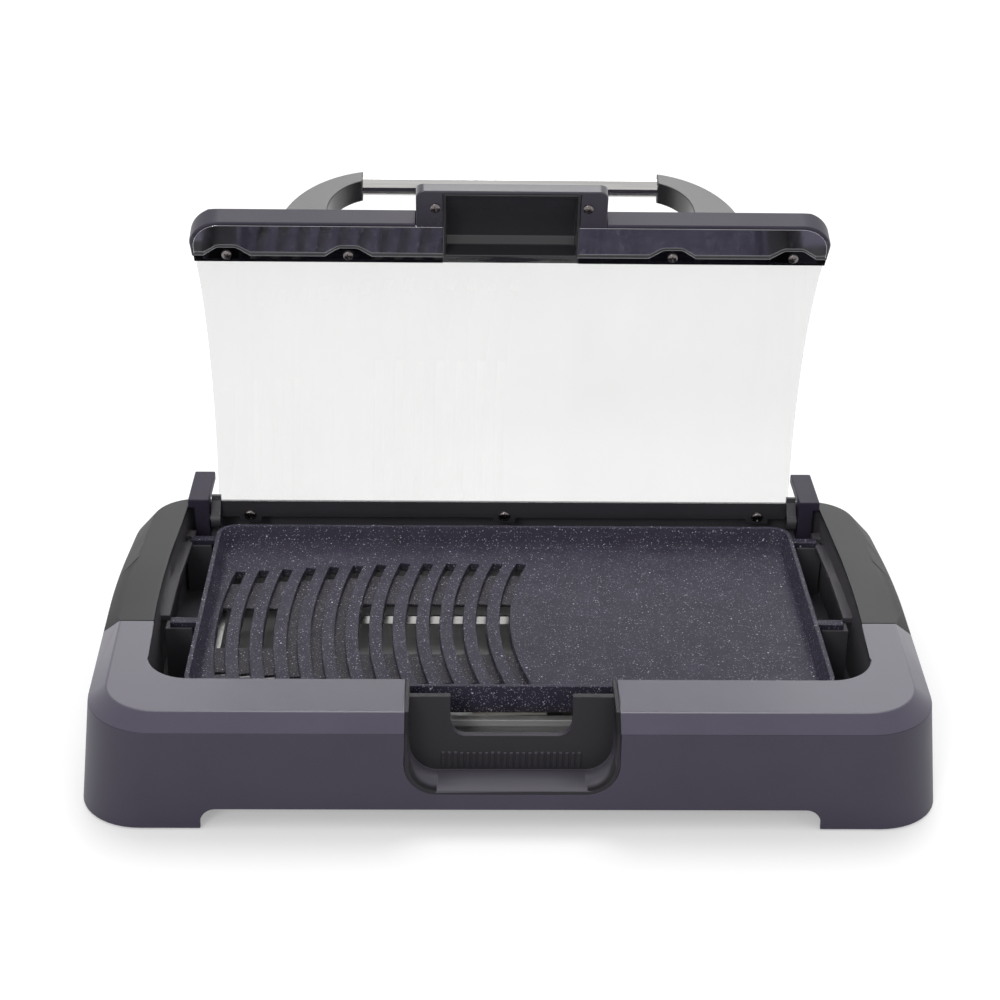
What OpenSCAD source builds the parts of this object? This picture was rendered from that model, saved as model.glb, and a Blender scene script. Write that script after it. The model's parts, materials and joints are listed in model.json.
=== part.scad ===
// Countertop electric grill: a low base with a lift-off plate over a drip tray, and a hinged glass lid.
// Millimetres, +Z up, front towards -Y, origin on the table under the middle of the whole grill.
// The lid is drawn standing open; its parts are laid out as if shut and then swung up about the hinge.

/* [Base] */
// Width of the base at the foot, at its widest
base_w = 567; // [555:1:590]
// Depth of the base at the foot
base_d = 334; // [328:1:350]
// Height of the flat top rim above the table
rim_top = 79; // [77:0.5:90]
// How far the front and rear walls lean in between the foot and the seam
wall_flare = 4.2; // [2:0.2:6]
// How far the side walls lean in between the foot and the seam
side_flare = 6.4; // [4:0.2:8]
// Width of the bevel around the rim, seen from above
bevel_w = 12; // [9:0.5:14]
// Height of the bevel around the rim
bevel_h = 9; // [7:0.5:11]
// Thickness of the moulded housing walls
wall_t = 3; // [2.4:0.1:3.4]
// Radius of the front corners at the foot
front_corner_r = 42; // [38:1:50]
// Radius of the front corners at the seam below the rim
front_seam_r = 47; // [40:1:54]
// Radius of the rear corners between the foot and the seam
rear_corner_r = 58; // [50:1:62]
// Radius of the rear corners of the flat rim
rim_rear_r = 29; // [24:1:36]
// How far each side swells between its corners
side_bow = 3.7; // [2:0.1:5]
// Height of the gaps between the feet
foot_gap_h = 15; // [13.5:0.5:17]
// Width of each foot across the front
foot_w = 84.5; // [76:0.5:92]
// Length of each foot along the side
foot_d = 76; // [70:1:84]
// Radius at the top corners of the gaps between the feet
foot_gap_r = 10; // [6:0.5:12]

/* [Rim and well] */
// Flat width of the rim at each side
rim_side_w = 22.6; // [18:0.2:26]
// Flat width of the rim at the front
rim_front_w = 40.4; // [38:0.5:46]
// Flat width of the rim at the rear corners
rim_rear_w = 2.8; // [2:0.2:5]
// Radius of the front corners of the opening
open_front_r = 30; // [24:1:38]
// Radius of the rear corners of the opening
open_rear_r = 14; // [10:1:20]
// Where the front rim meets the side rails, measured back from the middle
rail_joint_y = -36; // [-50:1:-25]
// Visible seam between the rim pieces
seam_gap = 0.4; // [0.2:0.1:0.8]
// Wall thickness of the inner tub
tub_t = 2.4; // [1.8:0.1:2.8]
// Width of the ledge along the inside of the tub
ledge_w = 6.5; // [4:0.5:8]
// Depth of the ledge below the rim
ledge_drop = 17; // [15:0.5:20]
// Depth of the hinge trough below the rim
trough_drop = 26.6; // [25:0.5:30]

/* [Front bay] */
// Width of the bay for the plug-in control
bay_w = 136.6; // [128:0.5:150]
// Height of the bay floor at the front
bay_floor_z = 29; // [26:0.5:32]
// Radius of the lower corners of the bay
bay_corner_r = 21; // [15:1:26]
// Distance of the bay's back wall behind the front face, at its foot
bay_depth = 24; // [20:0.5:28]
// How far the back wall leans back over its height
bay_lean = 10; // [6:0.5:12]
// Thickness of the bay's walls
bay_t = 2.6; // [2:0.1:3.2]
// Thickness of the bay's back wall
bay_back_t = 4.6; // [3.5:0.1:5.5]
// Width of the window in the back wall
window_w = 78.6; // [70:0.5:88]
// Height of the window's sill above the table
window_z = 52; // [49:0.5:55]
// Radius of the window's lower corners
window_r = 10; // [6:0.5:13]
// Width of the ribbed finger grip below the window
grip_w = 92; // [70:1:100]
// Height of the finger grip
grip_h = 10; // [7:0.5:12]
// Number of ribs on the finger grip
grip_ribs = 23; // [15:1:27]

/* [Grill plate] */
// Gap between the plate and the opening at each side
plate_side_gap = 27.5; // [25:0.5:31]
// Gap between the plate and the opening at the front
plate_front_gap = 8.2; // [5:0.2:11]
// Gap between the plate and the opening at the rear corners
plate_rear_gap = 18.6; // [18:0.2:22]
// Depth of the plate's edge below the rim
plate_drop = 11; // [9.5:0.5:13]
// Depth of the cooking surface below the plate's edge
pocket_d = 14; // [11:0.5:16]
// Thickness of the plate's floor
plate_floor_t = 6; // [5:0.2:7]
// Thickness of the plate's edge
plate_edge_t = 3; // [2.4:0.1:3.6]
// How far the inside walls of the plate slope in
plate_slope = 5; // [3:0.5:7]
// Length of the rounding between the floor and the walls of the plate's hollow
pocket_round = 4.2; // [2:0.2:6]
// Radius of the plate's corners
plate_corner_r = 14; // [10:1:18]
// Number of curved channels
channel_count = 13; // [8:1:13]
// Distance of the outermost channel's middle from the plate's left edge
channel_side_gap = 19; // [17:0.5:24]
// Width of a channel
channel_w = 7.6; // [6:0.1:9]
// Depth of a channel
channel_d = 4; // [2.5:0.1:4.4]
// Curve radius of the innermost channel
channel_r = 280; // [250:1:320]
// Length of the channels, front to back
channel_len = 174.8; // [165:0.2:178]
// How far the innermost channel's middle lies left of the plate's middle
channel_start = 2; // [-4:0.5:8]
// Length of the drain slots at the two ends of each channel
end_slot_len = 11.6; // [9:0.2:14]
// Length of the drain slots in the middle
mid_slot_len = 70; // [60:1:74]
// How much shorter each outer channel is at each end than the one before it
channel_step = 2; // [0:0.5:3]
// Length of the resting lugs, front to back
lug_w = 7.4; // [6:0.2:10]
// How far the lugs stand out of the plate
lug_len = 19.5; // [18:0.5:21]
// Thickness of the lugs
lug_h = 3.6; // [3:0.2:5]
// Distance of the rear lugs in front of the plate's rear edge
lug_rear_in = 12.5; // [9:0.5:16]
// Distance between the front and the rear lugs
lug_spacing = 123.5; // [110:0.5:135]

/* [Heater and tray] */
// Diameter of the heating element
element_d = 7.6; // [6.5:0.1:8]
// Distance between the two legs of the element
element_span = 105; // [98:1:110]
// How far the element reaches left of the plate's middle
element_left = 135; // [125:1:145]
// How far the element reaches right of the plate's middle
element_right = 150; // [120:1:175]
// Distance between the element's two ends
pin_spacing = 34; // [30:0.5:40]
// Radius of the element's two end bends
element_bend_r = 14; // [12:0.5:18]
// Diameter of the probe socket
probe_d = 6.4; // [5.5:0.1:7.5]
// Depth of the probe socket
probe_len = 16; // [12:0.5:18]
// Gap between the drip tray and the plate's edge, at the sides and the rear
tray_inset = 8; // [6:0.5:12]
// Gap between the drip tray and the plate's front edge
tray_front_inset = 2.2; // [1:0.2:5]
// Height of the drip tray
tray_h = 21; // [16:0.5:21.5]
// Metal thickness of the drip tray
tray_t = 1; // [0.8:0.1:1.4]
// Radius of the tray's corners
tray_corner_r = 16; // [12:1:20]
// Width of the tray's turned-over edge
tray_flange_w = 5; // [4:0.5:6]

/* [Hinge] */
// Distance of the hinge pin in front of the opening's rear edge
hinge_inset = 7; // [6.5:0.5:8]
// Depth of the hinge pin below the rim
hinge_drop = 12; // [11:0.5:13]
// Diameter of the hinge pins
pin_d = 6; // [5:0.2:7]
// Radial play of a pin in the lid
pin_play = 0.05; // [0.02:0.01:0.08]
// Angle that the lid opens from shut
lid_open = 72.5; // [68:0.5:74]
// Gap between the lid and each hinge bracket
bracket_gap = 3; // [2:0.2:4]
// Thickness of the bracket's leg
leg_t = 11; // [9:0.5:13]
// Thickness of the bracket's head
head_t = 15.5; // [14:0.5:17]
// Height of the bracket's head above the rim
head_h = 7; // [5:0.5:10]
// How far the bracket's head reaches back past the hinge pin
head_reach = 43; // [36:1:46]

/* [Lid] */
// Gap between the lid and the opening at each side
lid_side_gap = 23; // [20:0.5:25]
// How far the lid's front band laps over the front rim
band_lap = 15.6; // [12:0.2:20]
// Clearance under the shut lid
seat_gap = 0.3; // [0.2:0.1:0.6]
// Inside radius of the curved glass
glass_r = 290; // [280:1:310]
// Thickness of the glass
glass_t = 4; // [3.5:0.1:4.5]
// Margin between the glass and the ends of the band
glass_side_in = 3.5; // [3:0.1:4.5]
// Thickness of the silicone strips on the glass
seal_t = 1; // [0.8:0.1:1.2]
// Depth of the front band, front to back
band_d = 37; // [36:0.5:38]
// Height of the front band above the rim
band_h = 17.7; // [16.5:0.1:20]
// Wall thickness of the front band
band_t = 2.8; // [2.2:0.1:3.2]
// Radius of the front band's corners, seen from above
band_corner_r = 22; // [16:1:28]
// Width of the strip that clamps the glass to the band
clamp_w = 6.4; // [5.6:0.1:7.6]
// How far the hood's rear wall reaches past those strips
wall_ahead = 1.8; // [1.2:0.1:1.9]
// Thickness of the clamping strips
clamp_t = 2.5; // [2:0.1:2.8]
// Distance of the inner clamp screws from the middle
clamp_screw_in = 111; // [100:1:125]
// Distance of the outer clamp screws from the ends of the band
clamp_screw_side = 25.5; // [20:0.5:30]
// Width of the tabs around the clamp screws, at their outer edge
tab_w = 14; // [12:0.5:18]
// Width of those tabs where they leave the strip
tab_foot_w = 32; // [26:1:36]
// How far the tabs reach past the strip
tab_reach = 6.9; // [5.5:0.1:7.5]
// Thickness of the hood's liner, the polished cover and its strips
liner_t = 2; // [1.6:0.1:2.4]

/* [Hood] */
// Width of the hood over the bay
hood_w = 129; // [124:1:136]
// How far the hood reaches in front of the band
hood_reach = 27; // [22:0.5:30]
// Height of the hood's front lip
hood_lip_h = 9; // [7:0.5:11]
// Height of the hood above the rim at its top
hood_h = 22.5; // [21:0.5:26]
// Width of the hollow in the hood
hood_hollow_w = 88.6; // [80:0.5:96]
// Wall thickness of the hood
hood_t = 2.6; // [2.2:0.1:3]

/* [Handle] */
// Diameter of the handle tube
tube_d = 13.6; // [12:0.2:15]
// Wall thickness of the handle tube
tube_t = 1; // [0.8:0.1:1.5]
// Visible length of the handle tube
tube_len = 205; // [194:1:212]
// Height of the tube's middle above the front band
tube_h = 41; // [38:0.5:46]
// Depth of the arms, front to back
arm_d = 17; // [15.5:0.5:18]
// Outer curve radius of the arms
arm_r = 71; // [68:0.5:76]
// Inner curve radius of the arms
arm_inner_r = 36; // [32:0.5:38]
// Thickness of the arms at the tube
arm_tip_t = 17.6; // [16.5:0.2:19]
// How far the tube is pushed into each arm
socket_len = 12; // [9:0.5:15]

/* [Fixings] */
// Height of the housing's lower edge above the table
skirt_lift = 1.2; // [0.8:0.1:2]
// Thickness of the bottom plate
bottom_t = 2.2; // [1.8:0.1:2.6]
// Diameter of the rubber feet
pad_d = 22; // [18:0.5:26]
// Height of the rubber feet
pad_h = 5.5; // [4:0.5:6.5]
// How deep the rubber feet sit in the bottom plate
pad_seat = 2.5; // [1.5:0.1:3]
// Diameter of the small screws
screw_d = 3; // [2.6:0.1:3.4]
// Diameter of the screw heads
screw_head_d = 7; // [6:0.2:8]
// Height of the screw heads
screw_head_h = 1.8; // [1.4:0.1:2.2]
// Diameter of the screw bosses
boss_d = 10; // [8:0.5:12]

/* [Hidden] */
$fn = 64;

eps = 0.01;
slip = 0.1;            // clearance between neighbouring moulded pieces
screw_play = 0.05;     // radial clearance of a screw in its hole

// Base
seam_z = rim_top - bevel_h;
under_rim = rim_top - wall_t;
swell_y = 20;
floor_z = foot_gap_h + bottom_t;
foot_in = base_w / 2 - foot_w;
pad_x = base_w / 2 - foot_w / 2 - side_bow;
pad_y = base_d / 2 - foot_d / 2;
pad_base = pad_h - pad_seat;
boss_x = 150;
boss_h = 24;
housing_boss_y = base_d / 2 - wall_flare * (floor_z + boss_h) / seam_z - wall_t - boss_d / 2 + 0.8;

// Opening in the rim
rim_in = wall_flare + bevel_w;
open_half = base_w / 2 - side_flare - bevel_w - rim_side_w;
open_front = -base_d / 2 + rim_in + rim_front_w;
open_rear = base_d / 2 - rim_in - rim_rear_w;

// Plate and tray
plate_half = open_half - plate_side_gap;
plate_front = open_front + plate_front_gap;
plate_rear = open_rear - plate_rear_gap;
plate_mid = (plate_front + plate_rear) / 2;
plate_top = rim_top - plate_drop;
cook_z = plate_top - pocket_d;
plate_z = cook_z - plate_floor_t;
channel_y = plate_mid - 7;
channel_x = channel_r - channel_start;
channel_pitch = (plate_half - channel_side_gap + channel_start) / (channel_count - 1);
full_channels = 5;
lug_z = cook_z + 5;
lug_y = [plate_rear - lug_rear_in - lug_spacing, plate_rear - lug_rear_in];
tray_z = floor_z + tub_t;
tray_half = plate_half - tray_inset;
tray_front = plate_front + tray_front_inset;
tray_rear = plate_rear - tray_inset;

// Heater
leg_front = channel_y - element_span / 2;
leg_rear = channel_y + element_span / 2;
element_r = element_span / 2;
element_z = plate_z - element_d / 2 - slip;
rib_h = element_d - 2;
rib_w = element_d + 6;
block_front = plate_front + 14;
block_d = 16;

// Tub
well_rear = plate_rear + 2.1;
trough_z = rim_top - trough_drop;
trough_rear = base_d / 2 - wall_flare - wall_t - tub_t - slip;
ledge_z = rim_top - ledge_drop;

// Hinge and lid, laid out shut: u runs forward from the pin, w runs up from it
lid_half = open_half - lid_side_gap;
hinge_y = open_rear - hinge_inset;
hinge_z = rim_top - hinge_drop;
bracket_x = lid_half + bracket_gap;
rest_w = hinge_drop + seat_gap;
band_u = hinge_y - open_front + band_lap;
band_top = rest_w + band_h;
glass_half = lid_half - glass_side_in;
grip_u = band_u - 34.4;
glass_a = [10.3, 10.6];
glass_b = [grip_u, rest_w + 4.7];
chord = norm(glass_b - glass_a);
chord_dir = (glass_b - glass_a) / chord;
glass_sink = sqrt(glass_r * glass_r - chord * chord / 4);
glass_c = (glass_a + glass_b) / 2 + glass_sink * [chord_dir[1], -chord_dir[0]];
glass_end_u = grip_u + 3.5;
clamp_screw_u = grip_u + clamp_w + 1;
clamp_low = rest_w + 0.3;
liner_low = clamp_low + 2;
notch_u = grip_u + clamp_w + wall_ahead - liner_t - 2.5;
rear_tilt = acos((glass_a[1] - glass_c[1]) / glass_r);
rear_end = 13;
block_t = 7.2;

// Hood
hood_front = band_u + hood_reach;
hood_top = rest_w + hood_h;
hood_rear = band_u - band_d + 1;
hollow_rear = grip_u + clamp_w + wall_ahead;

// Handle
tube_u = band_u - arm_d / 2 - 2;
tube_w = band_top + tube_h;
arm_tip_x = tube_len / 2;
arm_top = tube_w + 6;
arm_low = arm_top - arm_tip_t + 5.6;

// Everything is laid out about the middle of the base, then moved so that the origin
// lies under the middle of the whole grill
middle_y = (hinge_y + head_reach - base_d / 2 + wall_flare * skirt_lift / seam_z) / 2;

module placed() {
  translate([0, -middle_y, 0]) children();
}

// ---------------------------------------------------------------- outlines

function arc(c, r, a0, a1, n) = [for (i = [0:n]) let (a = a0 + (a1 - a0) * i / n) c + r * [cos(a), sin(a)]];

// Direction of the straight run that touches two circles on their right
function touch(c1, r1, c2, r2) =
  atan2(c2[1] - c1[1], c2[0] - c1[0]) - acos((r1 - r2) / norm(c2 - c1));

function flip(pts) = [for (i = [len(pts) - 1:-1:0]) [-pts[i][0], pts[i][1]]];

// Right half of a rounded outline whose side swells to half_w
function half_plan(half_w, y0, y1, bow, r0, r1) =
  let (c0 = [half_w - bow - r0, y0 + r0],
       c1 = [half_w - bow - r1, y1 - r1],
       reach = min(swell_y - c0[1], c1[1] - swell_y),
       side_r = 0.45 * reach * reach / bow,
       cm = [half_w - side_r, swell_y],
       a0 = touch(c0, r0, cm, side_r),
       a1 = touch(cm, side_r, c1, r1))
  concat(arc(c0, r0, -90, a0, 12), arc(cm, side_r, a0, a1, 10), arc(c1, r1, a1, 90, 10));

module rounded(half_w, y0, y1, bow, r0, r1) {
  half = half_plan(half_w, y0, y1, bow, r0, r1);
  polygon(concat(half, flip(half)));
}

// Outline of the base at a height between the foot and the seam, drawn in by inset
module plan(z, inset) {
  t = z / seam_z;
  rounded(base_w / 2 - side_flare * t - inset, -base_d / 2 + lean(z) + inset, base_d / 2 - lean(z) - inset,
          side_bow, front_corner_r + (front_seam_r - front_corner_r) * t - inset, rear_corner_r - inset);
}

// Outline of the flat rim's outer edge, drawn in by inset
module rim_plan(inset) {
  y = base_d / 2 - rim_in - inset;
  rounded(base_w / 2 - side_flare - bevel_w - inset, -y, y, side_bow,
          front_seam_r - bevel_w - inset, rim_rear_r - inset);
}

// Outline of the opening, drawn in by inset
module opening(inset) {
  rounded(open_half - inset, open_front + inset, open_rear - inset, side_bow,
          open_front_r - inset, open_rear_r - inset);
}

function lean(z) = wall_flare * z / seam_z;

// Leaning body of the lower housing between two heights
module skirt(z0, z1, inset) {
  hull() {
    translate([0, 0, z0]) linear_extrude(eps) plan(z0, inset);
    translate([0, 0, z1 - eps]) linear_extrude(eps) plan(z1, inset);
  }
}

// Bevelled body of the rim, from the seam to the flat top
module bevel(z0, z1, inset) {
  hull() {
    translate([0, 0, z0]) linear_extrude(eps) plan(seam_z, inset);
    translate([0, 0, z1 - eps]) linear_extrude(eps) rim_plan(inset / 2);
  }
}

module round_rect(half_w, y0, y1, r) {
  translate([-half_w + r, y0]) square([2 * (half_w - r), y1 - y0]);
  translate([-half_w, y0 + r]) square([2 * half_w, y1 - y0 - 2 * r]);
  for (x = [-half_w + r, half_w - r], y = [y0 + r, y1 - r])
    translate([x, y]) circle(r);
}

// Upright slot with rounded lower corners, open upwards
module cup_slot(w, low, high, r) {
  translate([-w / 2, low + r]) square([w, high - low - r]);
  translate([-w / 2 + r, low]) square([w - 2 * r, high - low]);
  for (s = [-1, 1]) translate([s * (w / 2 - r), low + r]) circle(r);
}

// Gap between two feet: rounded at the top, open downwards
module foot_gap(w) {
  rotate(180) cup_slot(w, -foot_gap_h, 5, foot_gap_r);
}

// Extrudes an outline given as (y, z) across X
module across(x0, x1) {
  translate([x0, 0, 0]) rotate([90, 0, 90]) linear_extrude(x1 - x0) children();
}

// Extrudes an outline given as (x, z) along Y
module along(y0, y1) {
  translate([0, y1, 0]) rotate([90, 0, 0]) linear_extrude(y1 - y0) children();
}

// ---------------------------------------------------------------- base

module screw_boss(z0, h) {
  translate([0, 0, z0]) difference() {
    cylinder(d = boss_d, h = h);
    translate([0, 0, -eps]) cylinder(d = screw_d + 2 * screw_play, h = 14);
  }
}

module at_base_screws() {
  for (x = [-boss_x, boss_x], y = [-housing_boss_y, housing_boss_y])
    translate([x, y, 0]) children();
}

module bay_cut(grow) {
  low = bay_floor_z - bay_t - grow;
  along(-base_d, open_front + 20) cup_slot(bay_w + 2 * grow, low, rim_top + 20, bay_corner_r);
}

module lower_housing() {
  color([0.22, 0.21, 0.26]) placed() {
    difference() {
      skirt(skirt_lift, seam_z, 0);
      skirt(skirt_lift - 1, seam_z + 1, wall_t);
      along(-base_d, base_d) foot_gap(2 * foot_in);
      across(-base_w, base_w) foot_gap(base_d - 2 * foot_d);
      bay_cut(slip);
    }
    at_base_screws() screw_boss(floor_z, boss_h);
  }
}

module rim_shell() {
  difference() {
    bevel(seam_z, rim_top, 0);
    bevel(seam_z - 1, under_rim, wall_t);
    translate([0, 0, seam_z - 1]) linear_extrude(bevel_h + 2) opening(0);
  }
}

module front_rim() {
  color([0.33, 0.32, 0.37]) placed() difference() {
    rim_shell();
    translate([-base_w, rail_joint_y - seam_gap / 2, 0]) cube([2 * base_w, base_d, 2 * rim_top]);
    bay_cut(slip);
  }
}

module side_rail(s) {
  x0 = s > 0 ? 0 : -base_w;
  color([0.24, 0.25, 0.26]) placed() difference() {
    intersection() {
      rim_shell();
      translate([x0, rail_joint_y + seam_gap / 2, 0]) cube([base_w, base_d, 2 * rim_top]);
    }
    translate([-bracket_x, 0, 0]) cube([2 * bracket_x, base_d, 2 * rim_top]);
  }
}

module rear_cover() {
  y0 = trough_rear;
  y1 = base_d / 2 - wall_flare;
  color([0.1, 0.1, 0.11]) placed()
    across(-bracket_x + slip, bracket_x - slip)
      polygon([[y0, seam_z], [y1, seam_z], [y1 - 2, seam_z + 2.4], [y0, seam_z + 2.4]]);
}

module trough_plan(grow) {
  intersection() {
    translate([-bracket_x - grow, 0]) square([2 * (bracket_x + grow), base_d]);
    plan(seam_z, wall_t + slip + tub_t - grow);
  }
}

module well_side(y_max) {
  translate([-base_w, -base_d]) square([2 * base_w, base_d + y_max]);
}

module lug_seat(s, y) {
  // Post that carries one lug of the plate
  x0 = plate_half + 4;
  x1 = open_half - side_bow - 1;
  translate([s > 0 ? x0 : -x1, y - lug_w / 2 - 2, floor_z])
    cube([x1 - x0, lug_w + 4, lug_z - floor_z]);
}

module inner_tub() {
  color([0.06, 0.06, 0.07]) placed() {
    difference() {
      union() {
        translate([0, 0, floor_z]) linear_extrude(trough_z - floor_z)
          intersection() { opening(-tub_t); well_side(well_rear + tub_t); }
        translate([0, 0, trough_z - tub_t]) linear_extrude(under_rim - trough_z + tub_t)
          intersection() { opening(-tub_t); rim_plan(wall_t / 2 + slip); }
        translate([0, 0, trough_z - tub_t]) linear_extrude(seam_z - trough_z + tub_t) trough_plan(tub_t);
      }
      translate([0, 0, tray_z]) linear_extrude(rim_top)
        intersection() { opening(0); well_side(well_rear); }
      translate([0, 0, trough_z]) linear_extrude(rim_top) {
        opening(0);
        trough_plan(0);
      }
      translate([-bracket_x, 100, seam_z]) cube([2 * bracket_x, base_d, rim_top]);
      bay_cut(slip);
      at_bracket_screws() translate([0, 0, trough_z - 2 * tub_t])
        cylinder(d = screw_d + 2 * screw_play, h = 4 * tub_t);
    }
    translate([0, 0, ledge_z - 4]) linear_extrude(4) difference() {
      intersection() {
        opening(-eps);
        union() for (s = [-1, 1]) translate([s > 0 ? open_half - 20 : -open_half - 20, lug_y[0] + lug_w])
          square([40, well_rear - lug_y[0] - lug_w]);
      }
      opening(ledge_w);
      for (y = lug_y) translate([-base_w, y - lug_w / 2 - 1]) square([2 * base_w, lug_w + 2]);
    }
    for (s = [-1, 1], y = lug_y) lug_seat(s, y);
  }
}

function bay_front_y(z) = -base_d / 2 + lean(z);
bay_foot_y = bay_front_y(bay_floor_z) + bay_depth;
bay_top_y = bay_foot_y + bay_lean;
bay_top_z = rim_top - 1;

module bay_insert() {
  half = bay_w / 2;
  in_w = bay_w - 2 * bay_t;
  back = open_front + tub_t;
  color([0.07, 0.07, 0.08]) placed() {
    difference() {
      intersection() {
        union() {
          skirt(skirt_lift, seam_z, 0);
          bevel(seam_z, rim_top, 0);
        }
        along(-base_d, back) difference() {
          cup_slot(bay_w, bay_floor_z - bay_t, rim_top, bay_corner_r);
          cup_slot(in_w, bay_floor_z, rim_top + 1, bay_corner_r - bay_t);
        }
      }
      translate([-half, back - 3, plate_z]) cube([bay_w, 10, rim_top]);
    }
    difference() {
      intersection() {
        along(-base_d, back) cup_slot(in_w + eps, bay_floor_z - eps, rim_top, bay_corner_r - bay_t);
        across(-half, half) polygon([
          [bay_foot_y, bay_floor_z - 1], [bay_top_y, bay_top_z],
          [bay_top_y + bay_back_t, bay_top_z], [bay_foot_y + bay_back_t, bay_floor_z - 1]
        ]);
      }
      along(-base_d, 0) cup_slot(window_w, window_z, rim_top + 1, window_r);
    }
    for (i = [0:grip_ribs - 1]) grip_rib(i);
  }
}

module grip_rib(i) {
  // One upright rib of the finger grip on the leaning back wall
  pitch = grip_w / grip_ribs;
  slope = bay_lean / (bay_top_z - bay_floor_z);
  z0 = bay_floor_z + 2;
  y0 = bay_foot_y + slope * 2;
  y1 = y0 + slope * grip_h;
  translate([-grip_w / 2 + pitch * (i + 0.25), 0, 0]) across(0, pitch / 2)
    polygon([[y0 + 0.5, z0], [y0 - 1.2, z0], [y1 - 1.2, z0 + grip_h], [y1 + 0.5, z0 + grip_h]]);
}

module at_pads() {
  for (x = [-pad_x, pad_x], y = [-pad_y, pad_y]) translate([x, y, 0]) children();
}

module bottom_plate() {
  color([0.05, 0.05, 0.05]) placed() difference() {
    union() {
      translate([0, 0, foot_gap_h]) linear_extrude(bottom_t) plan(floor_z, wall_t + slip);
      at_pads() translate([0, 0, pad_base]) cylinder(d = pad_d + 10, h = foot_gap_h - pad_base + eps);
    }
    at_pads() translate([0, 0, pad_base - eps]) cylinder(d = pad_d + 2 * screw_play, h = pad_seat + eps);
    at_base_screws() translate([0, 0, foot_gap_h - 1])
      cylinder(d = screw_d + 0.4, h = bottom_t + 2);
    for (i = [-5:5]) translate([i * 22 - 3, -38, foot_gap_h - 1]) cube([6, 76, bottom_t + 2]);
  }
}

module foot_pad(sx, sy) {
  color([0.03, 0.03, 0.03]) placed() translate([sx * pad_x, sy * pad_y, 0]) cylinder(d = pad_d, h = pad_h);
}

// Screw standing head down on z = 0 and pointing up
module screw(len) {
  translate([0, 0, -screw_head_h]) cylinder(d = screw_head_d, h = screw_head_h);
  translate([0, 0, -eps]) cylinder(d = screw_d, h = len + eps);
}

module base_screws() {
  color([0.6, 0.6, 0.62]) placed() at_base_screws() translate([0, 0, foot_gap_h]) screw(bottom_t + 12);
}

// ---------------------------------------------------------------- hinge brackets

module at_bracket_screws() {
  for (s = [-1, 1]) translate([s * (bracket_x + leg_t / 2), hinge_y, 0]) children();
}

module hinge_bracket(s) {
  leg_y0 = hinge_y - 7;
  leg_y1 = open_rear - slip;
  x0 = s > 0 ? bracket_x : -bracket_x - leg_t;
  xh = s > 0 ? bracket_x : -bracket_x - head_t;
  color([0.16, 0.15, 0.18]) placed() difference() {
    union() {
      translate([0, 0, trough_z]) linear_extrude(rim_top - trough_z + head_h / 2) intersection() {
        translate([x0, leg_y0]) square([leg_t, leg_y1 - leg_y0]);
        opening(slip);
      }
      translate([xh, leg_y0, rim_top]) cube([head_t, hinge_y + head_reach - leg_y0, head_h]);
    }
    translate([x0 - 1, hinge_y, hinge_z]) rotate([0, 90, 0])
      cylinder(d = pin_d + 2 * screw_play, h = leg_t + 2);
    translate([s * (bracket_x + leg_t / 2), hinge_y, trough_z - 1])
      cylinder(d = screw_d + 2 * screw_play, h = 9);
  }
}

module bracket_screws() {
  color([0.6, 0.6, 0.62]) placed() at_bracket_screws() translate([0, 0, trough_z - tub_t]) screw(tub_t + 7);
}

module hinge_pin(s) {
  x0 = lid_half + 2 - block_t;
  len = bracket_x + leg_t - x0 - 0.5;
  color([0.75, 0.75, 0.77]) placed() translate([s > 0 ? x0 : -x0 - len, hinge_y, hinge_z])
    rotate([0, 90, 0]) cylinder(d = pin_d, h = len);
}

// ---------------------------------------------------------------- tray, plate and heater

// Outline of the tray, drawn in by inset
module tray_plan(inset) {
  round_rect(tray_half - inset, tray_front + inset, tray_rear - inset, tray_corner_r - inset);
}

module drip_tray() {
  wall = tray_flange_w;
  top = tray_z + tray_h;
  color([0.8, 0.8, 0.82]) placed() {
    translate([0, 0, tray_z]) difference() {
      linear_extrude(tray_h) tray_plan(wall);
      translate([0, 0, tray_t]) linear_extrude(tray_h) tray_plan(wall + tray_t);
    }
    translate([0, 0, top - tray_t]) linear_extrude(tray_t) difference() {
      tray_plan(0);
      tray_plan(wall + eps);
    }
    translate([0, 0, top - tray_flange_w]) linear_extrude(tray_flange_w) difference() {
      tray_plan(0);
      tray_plan(tray_t);
    }
  }
}

// Piece of the ring along one curved channel
module channel_shape(r, y0, y1, w) {
  a0 = asin(y0 / r);
  a1 = asin(y1 / r);
  intersection() {
    difference() {
      circle(r + w / 2, $fn = 180);
      circle(r - w / 2, $fn = 180);
    }
    polygon([[0, 0], 2 * r * [-cos(a0), sin(a0)], 2 * r * [-cos(a1), sin(a1)]]);
  }
}

module channels() {
  slot_w = channel_w - 0.8;
  for (i = [0:channel_count - 1]) {
    r = channel_r + i * channel_pitch;
    x = r - channel_r - channel_start;
    half = channel_len / 2 - max(0, i - full_channels) * channel_step;
    outside = x > element_left + 24;
    crossed = abs(x - element_left) <= 24;
    mid = mid_slot_len / 2 - (outside ? 7 : 0);
    translate([channel_x, channel_y, cook_z - channel_d]) linear_extrude(pocket_d)
      channel_shape(r, -half, half, channel_w);
    translate([channel_x, channel_y, plate_z - 1]) linear_extrude(plate_floor_t) {
      channel_shape(r, half - end_slot_len, half - 0.4, slot_w);
      channel_shape(r, 0.4 - half, end_slot_len - half, slot_w);
      if (!crossed) channel_shape(r, -mid - 2, mid - 2, slot_w);
    }
  }
}

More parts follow.
